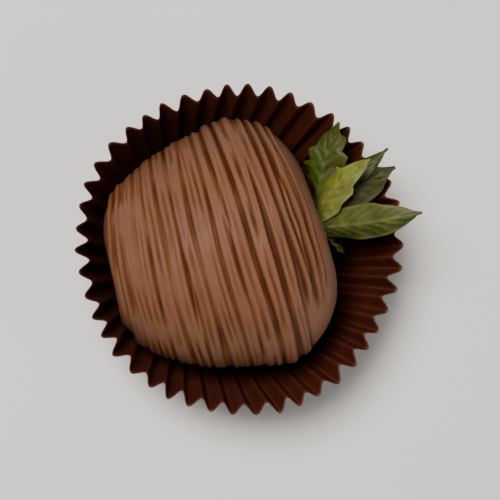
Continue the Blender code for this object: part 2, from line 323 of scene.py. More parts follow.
def length_setting(name, description, default):
    """A length that the user can change."""
    return bpy.props.FloatProperty(
        name=name, description=description, default=default, unit="LENGTH", subtype="DISTANCE"
    )


def colour_setting(name, description, default):
    """A colour that the user can change."""
    return bpy.props.FloatVectorProperty(
        name=name, description=description, default=default, subtype="COLOR"
    )


class CoatSettings(bpy.types.PropertyGroup):
    """The chocolate coat and its drizzle."""

    rings: bpy.props.IntProperty(
        name="Rings",
        description="Rings of points along the berry's axis",
        default=460,
        min=24,
    )
    segments: bpy.props.IntProperty(
        name="Segments",
        description="Points in each ring",
        default=206,
        min=24,
    )
    top_share: bpy.props.FloatProperty(
        name="Top share",
        description="How much closer the points of a ring lie on top than below",
        default=0.35,
        min=0.0,
        max=0.6,
    )
    threads: bpy.props.IntProperty(
        name="Threads",
        description="Thin threads that cross the strands",
        default=9,
        min=0,
    )
    # Painted shade reaches its full darkness this deep below the strands
    groove_depth: length_setting(
        "Groove depth",
        "Depth below the strands at which a groove shows its full colour",
        0.45 * MM,
    )
    # The chocolate's own colour, also paler as painted sheen on the strands' tops
    colour: colour_setting(
        "Chocolate", "Colour of the bare coat and the strands' tops", (0.134, 0.0570, 0.0315)
    )
    # Painted shade on the strands' sides
    flank_shade_colour: colour_setting(
        "Flanks", "Colour of the strands' sides", (0.098, 0.0340, 0.0095)
    )
    # Painted shade deep between the strands
    groove_shade_colour: colour_setting(
        "Grooves", "Colour deep between the strands", (0.041, 0.0088, 0.0008)
    )


class CrownSettings(bpy.types.PropertyGroup):
    """The green crown."""

    leaf_thickness: length_setting("Leaf thickness", "Thickness of a leaf's blade", 0.3 * MM)
    bright: colour_setting(
        "Bright leaf", "Colour of the young leaf", (0.108, 0.118, 0.012)
    )
    # Painted light and shade on the far half
    bright_half: colour_setting(
        "Bright half", "Colour of the young leaf's far half", (0.108, 0.114, 0.024)
    )
    bright_edge: colour_setting(
        "Bright veins", "Colour of the young leaf's veins and edge", (0.17, 0.165, 0.058)
    )
    middle: colour_setting(
        "Middle leaf", "Colour of the ordinary leaves", (0.028, 0.040, 0.003)
    )
    # Painted light and shade on the far half
    middle_half: colour_setting(
        "Middle half", "Colour of the ordinary leaves' far half", (0.036, 0.038, 0.004)
    )
    middle_edge: colour_setting(
        "Middle veins", "Colour of the ordinary leaves' veins and edge", (0.062, 0.064, 0.014)
    )
    # Painted shade: darker copies of the leaf colours for the leaves that lie in shade
    dark: colour_setting(
        "Dark leaf", "Colour of the leaves in the shade", (0.018, 0.026, 0.002)
    )
    # Painted light and shade on the far half
    dark_half: colour_setting(
        "Dark half", "Colour of the shaded leaves' far half", (0.032, 0.034, 0.005)
    )
    dark_edge: colour_setting(
        "Dark veins", "Colour of the shaded leaves' veins and edge", (0.065, 0.062, 0.016)
    )
    pale: colour_setting(
        "Pale leaf", "Colour of the long leaf", (0.047, 0.054, 0.008)
    )
    # Painted light and shade on the far half
    pale_half: colour_setting(
        "Pale half", "Colour of the long leaf's far half", (0.025, 0.033, 0.003)
    )
    pale_edge: colour_setting(
        "Pale veins", "Colour of the long leaf's veins and edge", (0.118, 0.114, 0.040)
    )
    stalk: colour_setting(
        "Stalk", "Colour of the hub and the stub of the stalk", (0.070, 0.052, 0.012)
    )
    # Painted light and shade on the far half
    stalk_half: colour_setting(
        "Stalk half", "Colour of the hub's far half", (0.050, 0.042, 0.009)
    )
    stalk_edge: colour_setting(
        "Stalk edge", "Colour of the hub's dry edge", (0.10, 0.072, 0.022)
    )


class CaseSettings(bpy.types.PropertyGroup):
    """The paper case."""

    paper_thickness: length_setting(
        "Paper thickness", "Thickness of the fluted paper", 0.14 * MM
    )
    colour: colour_setting(
        "Paper", "Colour of the greaseproof paper", (0.041, 0.0082, 0.0034)
    )


class StageSettings(bpy.types.PropertyGroup):
    """Floor, light and camera."""

    view_width: length_setting(
        "View width", "Width that the camera sees at the berry", 78 * MM
    )
    distance: length_setting(
        "Distance", "From the camera to the middle of the case", 0.341
    )
    floor_colour: colour_setting("Floor", "Colour of the pale floor", (0.62, 0.60, 0.585))
    key_power: bpy.props.FloatProperty(
        name="Key light",
        description="Power of the large light above",
        default=5.3,
        unit="POWER",
    )
    fill_power: bpy.props.FloatProperty(
        name="Fill light",
        description="Power of the low light on the right",
        default=1.1,
        unit="POWER",
    )
    room_strength: bpy.props.FloatProperty(
        name="Room light",
        description="Strength of the light from the room all round",
        default=0.22,
        min=0.0,
    )


# Shader helpers


def new_material(name):
    """A material with nodes, its tree and its main shader."""
    material = bpy.data.materials.new(name)
    material.use_nodes = True
    return material, material.node_tree, material.node_tree.nodes["Principled BSDF"]


def feed(tree, node, inputs):
    """Give a node's inputs other nodes' outputs or plain values, by name or number."""
    for name, value in inputs.items():
        if isinstance(value, bpy.types.NodeSocket):
            tree.links.new(value, node.inputs[name])
        else:
            node.inputs[name].default_value = value


def add_node(tree, kind, inputs, **attributes):
    """A node with its attributes set first, and then its inputs."""
    node = tree.nodes.new(kind)
    for name, value in attributes.items():
        setattr(node, name, value)
    feed(tree, node, inputs)
    return node


def calculate(tree, operation, *values):
    """The result of one step of arithmetic on outputs or numbers."""
    node = add_node(tree, "ShaderNodeMath", dict(enumerate(values)), operation=operation)
    return node.outputs[0]


def remap(tree, value, given, wanted):
    """A value brought from the given range to the wanted one, and held inside it."""
    names = ("From Min", "From Max", "To Min", "To Max")
    inputs = {"Value": value, **dict(zip(names, (*given, *wanted)))}
    return add_node(tree, "ShaderNodeMapRange", inputs).outputs["Result"]


def blend(tree, share, first, second):
    """The first colour, with a share of the second in its place."""
    inputs = {"Factor": share, "A": first, "B": second}
    return add_node(tree, "ShaderNodeMix", inputs, data_type="RGBA").outputs["Result"]


def add_noise(tree, place, rate, detail, roughness=0.5):
    """Noise that reads a place at a rate."""
    inputs = {"Vector": place, "Scale": rate, "Detail": detail, "Roughness": roughness}
    return add_node(tree, "ShaderNodeTexNoise", inputs).outputs["Fac"]


def mesh_value(tree, name):
    """A value that the piece's mesh keeps at each of its points."""
    return add_node(tree, "ShaderNodeAttribute", {}, attribute_name=name).outputs["Fac"]


def opaque(colour):
    """A colour with its alpha."""
    return (*colour, 1.0)


def tree_group(name, inputs, outputs):
    """An empty shader node group with named sockets."""
    group = bpy.data.node_groups.new(name, "ShaderNodeTree")
    for label, kind, value in inputs:
        socket = group.interface.new_socket(label, in_out="INPUT", socket_type=kind)
        socket.default_value = value
    for label, kind in outputs:
        group.interface.new_socket(label, in_out="OUTPUT", socket_type=kind)
    return group, group.nodes.new("NodeGroupInput"), group.nodes.new("NodeGroupOutput")


def grain_group():
    """Fine grain of a given size and a broader mask, from Object coordinates."""
    name = "fine_grain"
    if name in bpy.data.node_groups:
        return bpy.data.node_groups[name]
    group, start, end = tree_group(
        name,
        [("Size", "NodeSocketFloat", CHOCOLATE_GRAIN["Size"]),
         ("Stretch", "NodeSocketVector", (1, 1, 1))],
        [("Height", "NodeSocketFloat"), ("Mask", "NodeSocketFloat")],
    )
    place = add_node(group, "ShaderNodeTexCoord", {}).outputs["Object"]
    stretched = add_node(
        group,
        "ShaderNodeVectorMath",
        {0: place, 1: start.outputs["Stretch"]},
        operation="MULTIPLY",
    ).outputs["Vector"]
    rate = calculate(group, "DIVIDE", 1.0, start.outputs["Size"])
    mask_rate = calculate(group, "MULTIPLY", rate, MASK_RATE)
    fine = add_noise(group, stretched, rate, GRAIN_DETAIL, GRAIN_ROUGHNESS)
    broad = add_noise(group, stretched, mask_rate, CLOUD_DETAIL)
    feed(group, end, {"Height": fine, "Mask": broad})
    return group


def cloud_group():
    """Cloudy light and dark patches of a colour, from Object coordinates."""
    name = "cloudy_tone"
    if name in bpy.data.node_groups:
        return bpy.data.node_groups[name]
    group, start, end = tree_group(
        name,
        [("Color", "NodeSocketColor", (0.5, 0.5, 0.5, 1.0)),
         ("Size", "NodeSocketFloat", CHOCOLATE_CLOUDS["Size"]),
         ("Amount", "NodeSocketFloat", CHOCOLATE_CLOUDS["Amount"])],
        [("Color", "NodeSocketColor")],
    )
    place = add_node(group, "ShaderNodeTexCoord", {}).outputs["Object"]
    rate = calculate(group, "DIVIDE", 1.0, start.outputs["Size"])
    clouds = add_noise(group, place, rate, CLOUD_DETAIL, CLOUD_ROUGHNESS)
    centred = calculate(group, "SUBTRACT", clouds, 0.5)
    scaled = calculate(group, "MULTIPLY", centred, start.outputs["Amount"])
    gain = calculate(group, "MULTIPLY_ADD", scaled, 2.0, 1.0)
    tint = add_node(
        group,
        "ShaderNodeVectorMath",
        {0: start.outputs["Color"], "Scale": gain},
        operation="SCALE",
    )
    feed(group, end, {"Color": tint.outputs["Vector"]})
    return group


def use_group(tree, group, **inputs):
    """A shared effect, placed in a material with its own values."""
    return add_node(tree, "ShaderNodeGroup", inputs, node_tree=group)


def add_bump(tree, shader, height, strength, distance, below=None):
    """A bump from a height into the shader's normal, over another bump if given."""
    inputs = {"Strength": strength, "Distance": distance, "Height": height}
    if below is not None:
        inputs["Normal"] = below.outputs["Normal"]
    bump = add_node(tree, "ShaderNodeBump", inputs)
    feed(tree, shader, {"Normal": bump.outputs["Normal"]})
    return bump


# The finishes


def chocolate_material(settings):
    """Satin milk chocolate: painted sheen on the strands' tops, and painted shade on their
    sides and deep red brown in the grooves.
    """
    material, tree, shader = new_material("milk_chocolate")
    # The groove value gives painted sheen on the crests and painted shade on the flanks and in
    # the grooves
    ramp = add_node(tree, "ShaderNodeValToRGB", {"Fac": mesh_value(tree, "groove")})
    stops = ramp.color_ramp.elements
    stops[0].position = CREST_STOP
    stops[0].color = opaque(settings.colour)
    stops[1].position = GROOVE_STOP
    stops[1].color = opaque(settings.groove_shade_colour)
    stops.new(FLANK_STOP).color = opaque(settings.flank_shade_colour)
    clouds = use_group(tree, cloud_group(), Color=ramp.outputs["Color"], **CHOCOLATE_CLOUDS)
    grain = use_group(tree, grain_group(), **CHOCOLATE_GRAIN)
    streaks = use_group(tree, grain_group(), **CHOCOLATE_STREAKS)
    finish = {
        "Base Color": clouds.outputs["Color"],
        "Roughness": remap(tree, grain.outputs["Mask"], UNIT, CHOCOLATE_ROUGHNESS),
        "Specular IOR Level": CHOCOLATE_SHINE,
        "Subsurface Weight": CHOCOLATE_GLOW,
        "Subsurface Scale": CHOCOLATE_GLOW_DEPTH,
    }
    feed(tree, shader, finish)
    height = grain.outputs["Height"]
    fine = add_bump(tree, shader, height, CHOCOLATE_GRAIN_BUMP, FINE_BUMP_DISTANCE)
    height = streaks.outputs["Height"]
    add_bump(tree, shader, height, CHOCOLATE_STREAK_BUMP, BROAD_BUMP_DISTANCE, fine)
    return material


def leaf_material(name, colour, half_shade_colour, edge_colour):
    """A leaf with painted light and shade on the far half of its folded blade, a pale midrib,
    faint side veins, a paler edge and mottling. Its UV map runs along the leaf and across it,
    with the midrib at a half."""
    material, tree, shader = new_material(name)
    blade = add_node(tree, "ShaderNodeUVMap", {}, uv_map="blade").outputs["UV"]
    place = add_node(tree, "ShaderNodeSeparateXYZ", {0: blade})
    along = place.outputs["X"]
    across = place.outputs["Y"]
    wander = add_noise(tree, blade, WANDER_RATE, WANDER_DETAIL)
    side = calculate(tree, "ABSOLUTE", calculate(tree, "SUBTRACT", across, 0.5))
    swept = calculate(tree, "MULTIPLY_ADD", side, -VEIN_SWEEP, along)
    strayed = calculate(tree, "MULTIPLY_ADD", wander, VEIN_WANDER, swept)
    wave = calculate(tree, "SINE", calculate(tree, "MULTIPLY", strayed, VEIN_RATE))
    veins = remap(tree, wave, VEIN_RANGE, VEIN_SHOW)
    rib = remap(tree, side, RIB_RANGE, RIB_SHOW)
    lines = calculate(tree, "MAXIMUM", veins, rib)
    rim = calculate(tree, "MULTIPLY_ADD", wander, EDGE_WANDER, side)
    edge = remap(tree, rim, EDGE_RANGE, EDGE_SHOW)
    # Painted light and shade on the leaf's far half
    half = remap(tree, across, HALF_SHADE_RANGE, UNIT)
    shaded_halves = blend(tree, half, opaque(colour), opaque(half_shade_colour))
    clouds = use_group(tree, cloud_group(), Color=shaded_halves, **LEAF_CLOUDS)
    veined = blend(tree, lines, clouds.outputs["Color"], opaque(edge_colour))
    grain = use_group(tree, grain_group(), **LEAF_GRAIN)
    finish = {
        "Base Color": blend(tree, edge, veined, opaque(edge_colour)),
        "Roughness": remap(tree, grain.outputs["Mask"], UNIT, LEAF_ROUGHNESS),
        "Specular IOR Level": LEAF_SHINE,
    }
    feed(tree, shader, finish)
    height = grain.outputs["Height"]
    fine = add_bump(tree, shader, height, LEAF_GRAIN_BUMP, FINE_BUMP_DISTANCE)
    add_bump(tree, shader, lines, VEIN_BUMP, BROAD_BUMP_DISTANCE, fine)
    return material


def paper_material(settings):
    """Dark brown greaseproof paper: soft sheen, fibres and paler folds."""
    material, tree, shader = new_material("brown_paper")
    colour = opaque(settings.colour)
    pale_fold_colour = opaque(PALE_FOLD_GAIN * part for part in settings.colour)
    clouds = use_group(tree, cloud_group(), Color=colour, **PAPER_CLOUDS)
    fibres = use_group(tree, grain_group(), **PAPER_FIBRES)
    # The paper is paler along the folds of its flutes
    pale_folds = remap(tree, mesh_value(tree, "fold"), PALE_FOLD_RANGE, PALE_FOLD_SHOW)
    finish = {
        "Base Color": blend(tree, pale_folds, clouds.outputs["Color"], pale_fold_colour),
        "Roughness": remap(tree, fibres.outputs["Mask"], UNIT, PAPER_ROUGHNESS),
        "Specular IOR Level": PAPER_SHINE,
    }
    feed(tree, shader, finish)
    add_bump(tree, shader, fibres.outputs["Height"], PAPER_BUMP, BROAD_BUMP_DISTANCE)
    return material


def floor_material(settings):
    """A plain pale matt floor."""
    material, tree, shader = new_material("pale_floor")
    colour = opaque(settings.floor_colour)
    clouds = use_group(tree, cloud_group(), Color=colour, **FLOOR_CLOUDS)
    finish = {"Base Color": clouds.outputs["Color"], "Roughness": FLOOR_ROUGHNESS}
    feed(tree, shader, finish)
    return material


# Piece helpers


def add_piece(name, shape, material, thickness=None):
    """A bmesh as a smooth shaded object at the origin, thickened if it is a sheet."""
    mesh = bpy.data.meshes.new(name)
    shape.to_mesh(mesh)
    shape.free()
    mesh.materials.append(material)
    mesh.shade_smooth()
    piece = bpy.data.objects.new(name, mesh)
    bpy.context.scene.collection.objects.link(piece)
    if thickness is not None:
        skin = piece.modifiers.new("thickness", "SOLIDIFY")
        skin.thickness = thickness
        skin.offset = 0
    return piece


def dress(piece, node):
    """The piece rides with the object and stands for a node, whose own solid is hidden."""
    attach(piece, "root")
    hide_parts(node)


def spin_shape(section, axis, steps):
    """A closed turned shape from the points of its section."""
    shape = bmesh.new()
    verts = [shape.verts.new(point) for point in section]
    edges = [shape.edges.new(pair) for pair in zip(verts, verts[1:])]
    bmesh.ops.spin(
        shape,
        geom=verts + edges,
        axis=axis,
        cent=(0, 0, 0),
        steps=steps,
        angle=math.tau,
        use_merge=True,
    )
    bmesh.ops.remove_doubles(shape, verts=shape.verts, dist=MERGE_DISTANCE)
    return shape


def smoothstep(low, high, value):
    """A soft climb from 0 at the low value to 1 at the high one."""
    share = np.clip((value - low) / (high - low), 0.0, 1.0)
    return share * share * (3 - 2 * share)


def noise_at(places):
    """Smooth noise at each of these places."""
    return np.array([noise.noise(Vector(place)) for place in places])


def waves(terms, angle):
    """Waves round a circle, each with a height, turns and phase, added up."""
    return sum(height * math.sin(turns * angle + phase) for height, turns, phase in terms)


# The coat


def coat_points(along, around):
    """Points of the bare coat, in rows of x, y and z. along runs from 0 at the tip to pi
    at the crown, and around turns about the axis from +Y towards +Z."""
    along = np.asarray(along, float)
    around = np.asarray(around, float)
    tip_side = along < math.pi / 2
    length = np.where(tip_side, TIP_LENGTH, SHOULDER_LENGTH)
    power = np.where(tip_side, TIP_SQUARENESS, SHOULDER_SQUARENESS)
    axial = np.abs(np.cos(along)) / length
    radial = np.abs(np.sin(along)) / HALF_WIDTH
    reach = (axial**power + radial**power) ** (-1 / power)
    x = -reach * np.cos(along)
    share = reach * np.sin(along) / HALF_WIDTH
    depth = np.where(tip_side, -x / TIP_LENGTH, 0.0)
    share *= 1 - TIP_TAPER * depth**2 / (depth + TAPER_START)
    y = share * HALF_WIDTH * np.cos(around)
    z = share * HALF_HEIGHT * np.sin(around)
    off_axis = np.hypot(y, z) / DIMPLE_RADIUS
    dent = DIMPLE_DEPTH * np.exp(-(off_axis**2)) - SHOULDER_SKEW * y * np.cos(along)
    x -= np.where(tip_side, 0.0, dent)
    points = np.column_stack((x, y, z))
    lump = noise_at([Vector(point) / LUMP_SIZE + LUMP_SHIFT for point in points])
    away = points / np.linalg.norm(points, axis=1)[:, None]
    points += away * (LUMP_HEIGHT * lump)[:, None]
    points = points @ np.array(BERRY_TURN.to_3x3()).T + np.array(BERRY_CENTRE)
    points[:, 2] = np.maximum(points[:, 2], REST_HEIGHT)
    return points


def even_rings(count):
    """Angles from the tip to the crown, spaced evenly over the top's profile, and three
    times as close along the drizzle as on the two bare ends."""
    fine = np.linspace(0, math.pi, PROFILE_STEPS)
    profile = coat_points(fine, np.full(len(fine), math.pi / 2))
    steps = np.linalg.norm(np.diff(profile, axis=0), axis=1)
    high = profile[1:, 2] > REST_HEIGHT + DRIZZLED_HEIGHT
    drizzled = high & (profile[1:, 0] < (GROOVES[-1] + DRIZZLED_MARGIN) * MM)
    shares = np.where(drizzled, 1.0, BARE_RING_SHARE)
    way = np.concatenate(([0], np.cumsum(steps * shares)))
    return np.interp(np.linspace(0, way[-1], count + 1), way, fine)


def crown_share(place):
    """How far a place in millimetres along the axis lies from the first groove, at 0, to
    the last, at 1."""
    return (place - GROOVES[0]) / (GROOVES[-1] - GROOVES[0])


class Strand:
    """A strand of chocolate that lies across the coat in a wavy, leaning arc. It runs from
    a start to an end angle round the berry and fades out there."""

    def __init__(self, middle, extra_slope, phase, wave, radius):
        share = crown_share(middle / MM)
        fan = (1 - share) ** 2
        self.middle = middle
        self.slope = FAN_SLOPE_SHOULDER + fan * (FAN_SLOPE_TIP - FAN_SLOPE_SHOULDER)
        self.slope += extra_slope
        self.bend = FAN_BEND_SHOULDER + (1 - share) * (FAN_BEND_TIP - FAN_BEND_SHOULDER)
        self.phase = phase
        self.wave = wave
        self.radius = radius
        self.start = STRAND_LOW_ANGLE
        self.end = math.pi - STRAND_LOW_ANGLE
        self.end_fade = LOW_END_FADE

    def offset(self, points, normals):
        """How far each point lies off the strand's line, measured over the coat, and
        positive on the crown's side."""
        x, y, z = points.T
        turn = self.phase + y / WAVE_LENGTH
        line = self.middle + self.slope * y + self.bend * y * y + self.wave * np.sin(turn)
        line += STRAND_LEAN * (BERRY_TOP - z)
        along_y = self.slope + 2 * self.bend * y + self.wave / WAVE_LENGTH * np.cos(turn)
        steep = np.column_stack((np.ones_like(y), -along_y, np.full_like(y, STRAND_LEAN)))
        across = (steep**2).sum(axis=1) - (steep * normals).sum(axis=1) ** 2
        return (x - line) / np.sqrt(np.maximum(across, STEEPEST))

    def height(self, off, y, around):
        """How high the strand stands over the coat at points this far off its line, and
        how high its crest is where that is near."""
        thick = np.ones_like(y)
        for height, turns, shift, length in SWELLINGS:
            turn = turns * self.phase + shift * self.middle / MM + y / length
            thick += height * np.sin(turn)
        thick *= self.radius
        rise = thick * np.sqrt(np.clip(1 - (off / thick) ** 2, 0, 1)) - STRAND_SINK
        fade = smoothstep(self.start - END_SOFTNESS, self.start + START_FADE, around)
        fade *= smoothstep(-self.end - END_SOFTNESS, -self.end + self.end_fade, -around)
        spread = (thick + reach for reach in SPREAD_RANGE)
        near = 1 - smoothstep(*spread, np.abs(off))
        return np.maximum(rise, 0.0) * fade, (thick - STRAND_SINK) * near * fade


def draw_groups(draw):
    """The strands between each groove and the next, side by side."""
    groups = []
    for left, right in zip(GROOVES, GROOVES[1:]):
        gap = crown_share(left) * (GROOVE_GAP_SHOULDER - GROOVE_GAP_TIP) + GROOVE_GAP_TIP
        room = (right - left) * MM - gap
        count = max(1, round(room / STRAND_WIDTH))
        spacing = room / count
        phase = draw.uniform(0, math.tau)
        wave = draw.uniform(*WAVE_RANGE)
        group = []
        for index in range(count):
            middle = left * MM + gap / 2 + spacing * (index + 0.5)
            slope = draw.uniform(-SLOPE_JITTER, SLOPE_JITTER)
            radius = spacing / 2 * STRAND_OVERLAP * draw.uniform(*RADIUS_RANGE)
            group.append(Strand(middle, slope, phase, wave, radius))
        groups.append(group)
    for strand in [strand for group in groups for strand in group]:
        strand.start += draw.uniform(-END_JITTER, END_JITTER)
        if strand.middle > SHORT_STRANDS_FROM:
            strand.end = SHORT_END
            strand.end_fade = SHORT_END_FADE
        strand.end += draw.uniform(-END_JITTER, END_JITTER)
    return groups


def draw_threads(draw, count):
    """The thin threads that cross the strands."""
    threads = []
    for _ in range(count):
        middle = draw.uniform(GROOVES[THREADS_FROM_GROOVE], GROOVES[-1]) * MM
        slope = draw.uniform(-THREAD_SLOPE, THREAD_SLOPE)
        phase = draw.uniform(0, math.tau)
        radius = draw.uniform(*THREAD_RADIUS) * MM
        thread = Strand(middle, slope, phase, WAVE_RANGE[1], radius)
        thread.start += draw.uniform(0, THREAD_END_JITTER)
        if middle > 0:
            thread.end = SHORT_END
        thread.end -= draw.uniform(0, THREAD_END_JITTER)
        thread.end_fade = THREAD_END_FADE
        threads.append(thread)
    return threads


def run_together(values, share, patches, low):
    """How high chocolate has run together, as a share of the crests beside it."""
    tip, crown_gain, patch_gain, low_gain, least, most = values
    run = tip + crown_gain * share + patch_gain * patches + low_gain * low
    return np.clip(run, least, most)


def drizzle_relief(count, points, normals, around):
    """The height of the strands and threads over the coat, and how deep each point
    lies below the crests beside it. Chocolate has run together in long patches: much of
    it inside a group, and between groups mostly towards the tip."""
    draw = random.Random(DRIZZLE_SEED)
    groups = draw_groups(draw)
    threads = draw_threads(draw, count)
    patches = noise_at(points * (np.array(PATCH_STRETCH) / MM))
    share = crown_share(points[:, 0] / MM)
    low = smoothstep(*LOW_SIDE, -points[:, 1]) * smoothstep(*LOW_CROWN_SHARE, share)
    inside = run_together(RUN_INSIDE, share, patches, low)
    between = run_together(RUN_BETWEEN, share, patches, low)
    first, second, crest, bed = np.zeros((4, len(points)))
    for group in groups:
        offsets = [strand.offset(points, normals) for strand in group]
        own = np.zeros(len(points))
        for strand, off in zip(group, offsets):
            height, beside = strand.height(off, points[:, 1], around)
            second = np.maximum(second, np.minimum(first, height))
            first = np.maximum(first, height)
            own = np.maximum(own, beside)
        within = (offsets[0] > 0) & (offsets[-1] < 0)
        bed = np.maximum(bed, np.where(within, inside * own, 0.0))
        crest = np.maximum(crest, own)
    filled = np.maximum(first, np.maximum(bed, between * crest))
    relief = filled + SECOND_SHARE * second
    depth = np.maximum(crest - filled, 0.0)
    for thread in threads:
        off = thread.offset(points, normals)
        height = thread.height(off, points[:, 1], around)[0]
        relief += THREAD_SHARE * height
        depth = np.maximum(depth - height, 0.0)
    return relief, depth


class STRAWBERRY_OT_coat(bpy.types.Operator):
    """Make the chocolate coat with its drizzled strands"""

    bl_idname = "strawberry.coat"
    bl_label = "Chocolate coat"

    def execute(self, context):
        settings = context.scene.strawberry_coat
        shape = bmesh.new()
        bmesh.ops.create_uvsphere(
            shape, u_segments=settings.segments, v_segments=settings.rings, radius=1
        )
        sphere = np.array([vert.co for vert in shape.verts])
        ring = np.arccos(np.clip(-sphere[:, 2], -1, 1)) / math.pi * settings.rings
        along = even_rings(settings.rings)[np.rint(ring).astype(int)]
        around = np.arctan2(sphere[:, 0], -sphere[:, 1])
        around += settings.top_share * np.cos(around)
        points = coat_points(along, around)
        for vert, point in zip(shape.verts, points):
            vert.co = point
        bmesh.ops.recalc_face_normals(shape, faces=shape.faces)
        shape.normal_update()
        normals = np.array([vert.normal for vert in shape.verts])
        turn = np.where(around < -math.pi / 2, around + math.tau, around)
        relief, depth = drizzle_relief(settings.threads, points, normals, turn)
        for size, height in DENTS:
            relief += height * noise_at(points / size)
        points += normals * relief[:, None]
        points[:, 2] = np.maximum(points[:, 2], REST_HEIGHT)
        # How deep each point lies below the crests, for the finish's painted shade in the
        # grooves
        layer = shape.verts.layers.float.new("groove")
        for vert, point, value in zip(shape.verts, points, depth):
            vert.co = point
            vert[layer] = value / settings.groove_depth
        coat = add_piece("chocolate_coat", shape, chocolate_material(settings))
        dress(coat, "chocolate_berry")
        return {"FINISHED"}


# The crown


def crown_place():
    """The hub's frame, its back just clear of the dimple of the crown end."""
    forward = BERRY_TURN @ Vector((1, 0, 0))
    steps = [math.tau * step / DIMPLE_STEPS for step in range(DIMPLE_STEPS)]
    grid = [(along, around) for around in steps for along in DIMPLE_RIM]
    points = coat_points(*zip(*grid))
    seat = max((Vector(point) - BERRY_CENTRE).dot(forward) for point in points)
    centre = BERRY_CENTRE + forward * (seat + GAP + HUB_THICKNESS / 2)
    return Matrix.Translation(centre) @ BERRY_TURN


def tooth_cut(share, side, turn, teeth):
    """How much of a leaf's half width its uneven teeth leave out."""
    place = share * teeth * TOOTH_RATE + TOOTH_SIDE_SHIFT * (side > 0)
    place += TOOTH_SWEEP * abs(side)
    which = math.floor(place)
    step = place - which
    climb = step / TOOTH_CLIMB if step < TOOTH_CLIMB else (1 - step) / (1 - TOOTH_CLIMB)
    wave = math.sin(TOOTH_TURN * which + TOOTH_SIDE_TURN * (side > 0) + turn)
    return (TOOTH_DEPTH + TOOTH_UNEVENNESS * wave) * (1 - climb) ** TOOTH_HOLLOW


def leaf_half(share, side, turn, width, teeth):
    """Half the blade's width, share of the way along it, on one side."""
    belly = math.sin(math.pi * min(1.0, LEAF_BASE + (1 - LEAF_BASE) * share))
    half = LEAF_TIP_SHARE + (1 - LEAF_TIP_SHARE) * belly**BELLY_ROUNDNESS
    half *= width / 2
    if share > POINT_FROM:
        past = (share - POINT_FROM) / (1 - POINT_FROM)
        half *= 1 - POINT_NARROWING * past**POINT_CURVE
    if teeth:
        grown = float(smoothstep(*TEETH_GROW, share))
        half *= 1 - tooth_cut(share, side, turn, teeth) * grown
    return half


def leaf_point(share, side, turn, length, width, bend, twist, teeth):
    """A point of a leaf's blade, share of the way along it and side from -1 to 1."""
    half = leaf_half(share, side, turn, width, teeth)
    lift = LEAF_CUP * half * side * side
    ripple = math.sin(RIPPLE_RATE * share + RIPPLE_SWEEP * side + turn)
    lift += LEAF_RIPPLE * half * ripple * side
    lift += EDGE_RIPPLE * width * math.sin(EDGE_RIPPLE_RATE * share + turn) * side * side
    quilt = math.cos(VEIN_RATE * (share - VEIN_SWEEP / 2 * abs(side)))
    lift += VEIN_HEIGHT * width * quilt * (1 - abs(side))
    rib = math.exp(-((side / RIB_WIDTH) ** 2))
    lift -= RIB_DEPTH * width * rib * (1 - RIB_FADE * share)
    angle = bend * share
    roll = twist * min(1.0, share / TWIST_SHARE)
    across = half * side
    x = length * share * math.cos(angle / 2)
    y = across * math.cos(roll) - lift * math.sin(roll)
    z = length * share * math.sin(angle / 2) + across * math.sin(roll)
    return Vector((x, y, z + lift * math.cos(roll)))


def leaf_shape(turn, opening, length, width, bend, twist, teeth):
    """A leaf's blade as an open sheet from the hub outwards, with its UV map."""
    shape = bmesh.new()
    shape.loops.layers.uv.new("blade")
    along, across = LEAF_GRID
    bmesh.ops.create_grid(
        shape, x_segments=along, y_segments=across, size=0.5, calc_uvs=True
    )
    sizes = (length * MM, width * MM, math.radians(bend), math.radians(twist), teeth)
    for vert in shape.verts:
        vert.co = leaf_point(vert.co.x + 0.5, vert.co.y * 2, turn, *sizes)
    place = (
        Matrix.Rotation(math.radians(turn), 4, "X")
        @ Matrix.Translation((0, LEAF_RING, 0))
        @ Matrix.Rotation(math.radians(opening), 4, "Z")
        @ Matrix.Rotation(math.pi / 2, 4, "X")
    )
    bmesh.ops.transform(shape, matrix=place, verts=shape.verts)
    return shape


def hub_shape():
    """The domed disc that the leaves grow from, with the stub of the stalk."""
    section = [(x, radius, 0) for x, radius in HUB_SECTION]
    shape = spin_shape(section, (1, 0, 0), HUB_STEPS)
    for vert in shape.verts:
        if math.hypot(vert.co.y, vert.co.z) > LOBES_FROM:
            angle = math.atan2(vert.co.z, vert.co.y)
            lobes = 1 + sum(height * math.cos(count * angle) for height, count in HUB_LOBES)
            vert.co.y *= lobes
            vert.co.z *= lobes
    return shape


class STRAWBERRY_OT_crown(bpy.types.Operator):
    """Make the leaves of the crown and the hub that holds them"""

    bl_idname = "strawberry.crown"
    bl_label = "Green crown"

    def execute(self, context):
        settings = context.scene.strawberry_crown
        place = crown_place()
        finishes = {}
        for name in ("bright", "middle", "dark", "pale", "stalk"):
            colours = [getattr(settings, name + part) for part in ("", "_half", "_edge")]
            finishes[name] = leaf_material(f"leaf_{name}", *colours)
        pieces = [
            (name, leaf_shape(*sizes), finishes[finish], settings.leaf_thickness)
            for name, *sizes, finish in LEAVES
        ]
        pieces.append(("crown_hub", hub_shape(), finishes["stalk"], None))
        for name, shape, material, thickness in pieces:
            bmesh.ops.transform(shape, matrix=place, verts=shape.verts)
            bmesh.ops.recalc_face_normals(shape, faces=shape.faces)
            dress(add_piece(name, shape, material, thickness), "calyx")
        return {"FINISHED"}


# The paper case


def flute_phase(angle, share):
    """Where in its flute a point of the wall lies, share of the way up."""
    phase = CASE_FLUTES * angle
    for height, turns, start, twist in FLUTE_SHIFTS:
        phase += height * math.sin(turns * angle + start + twist * share)
    return phase


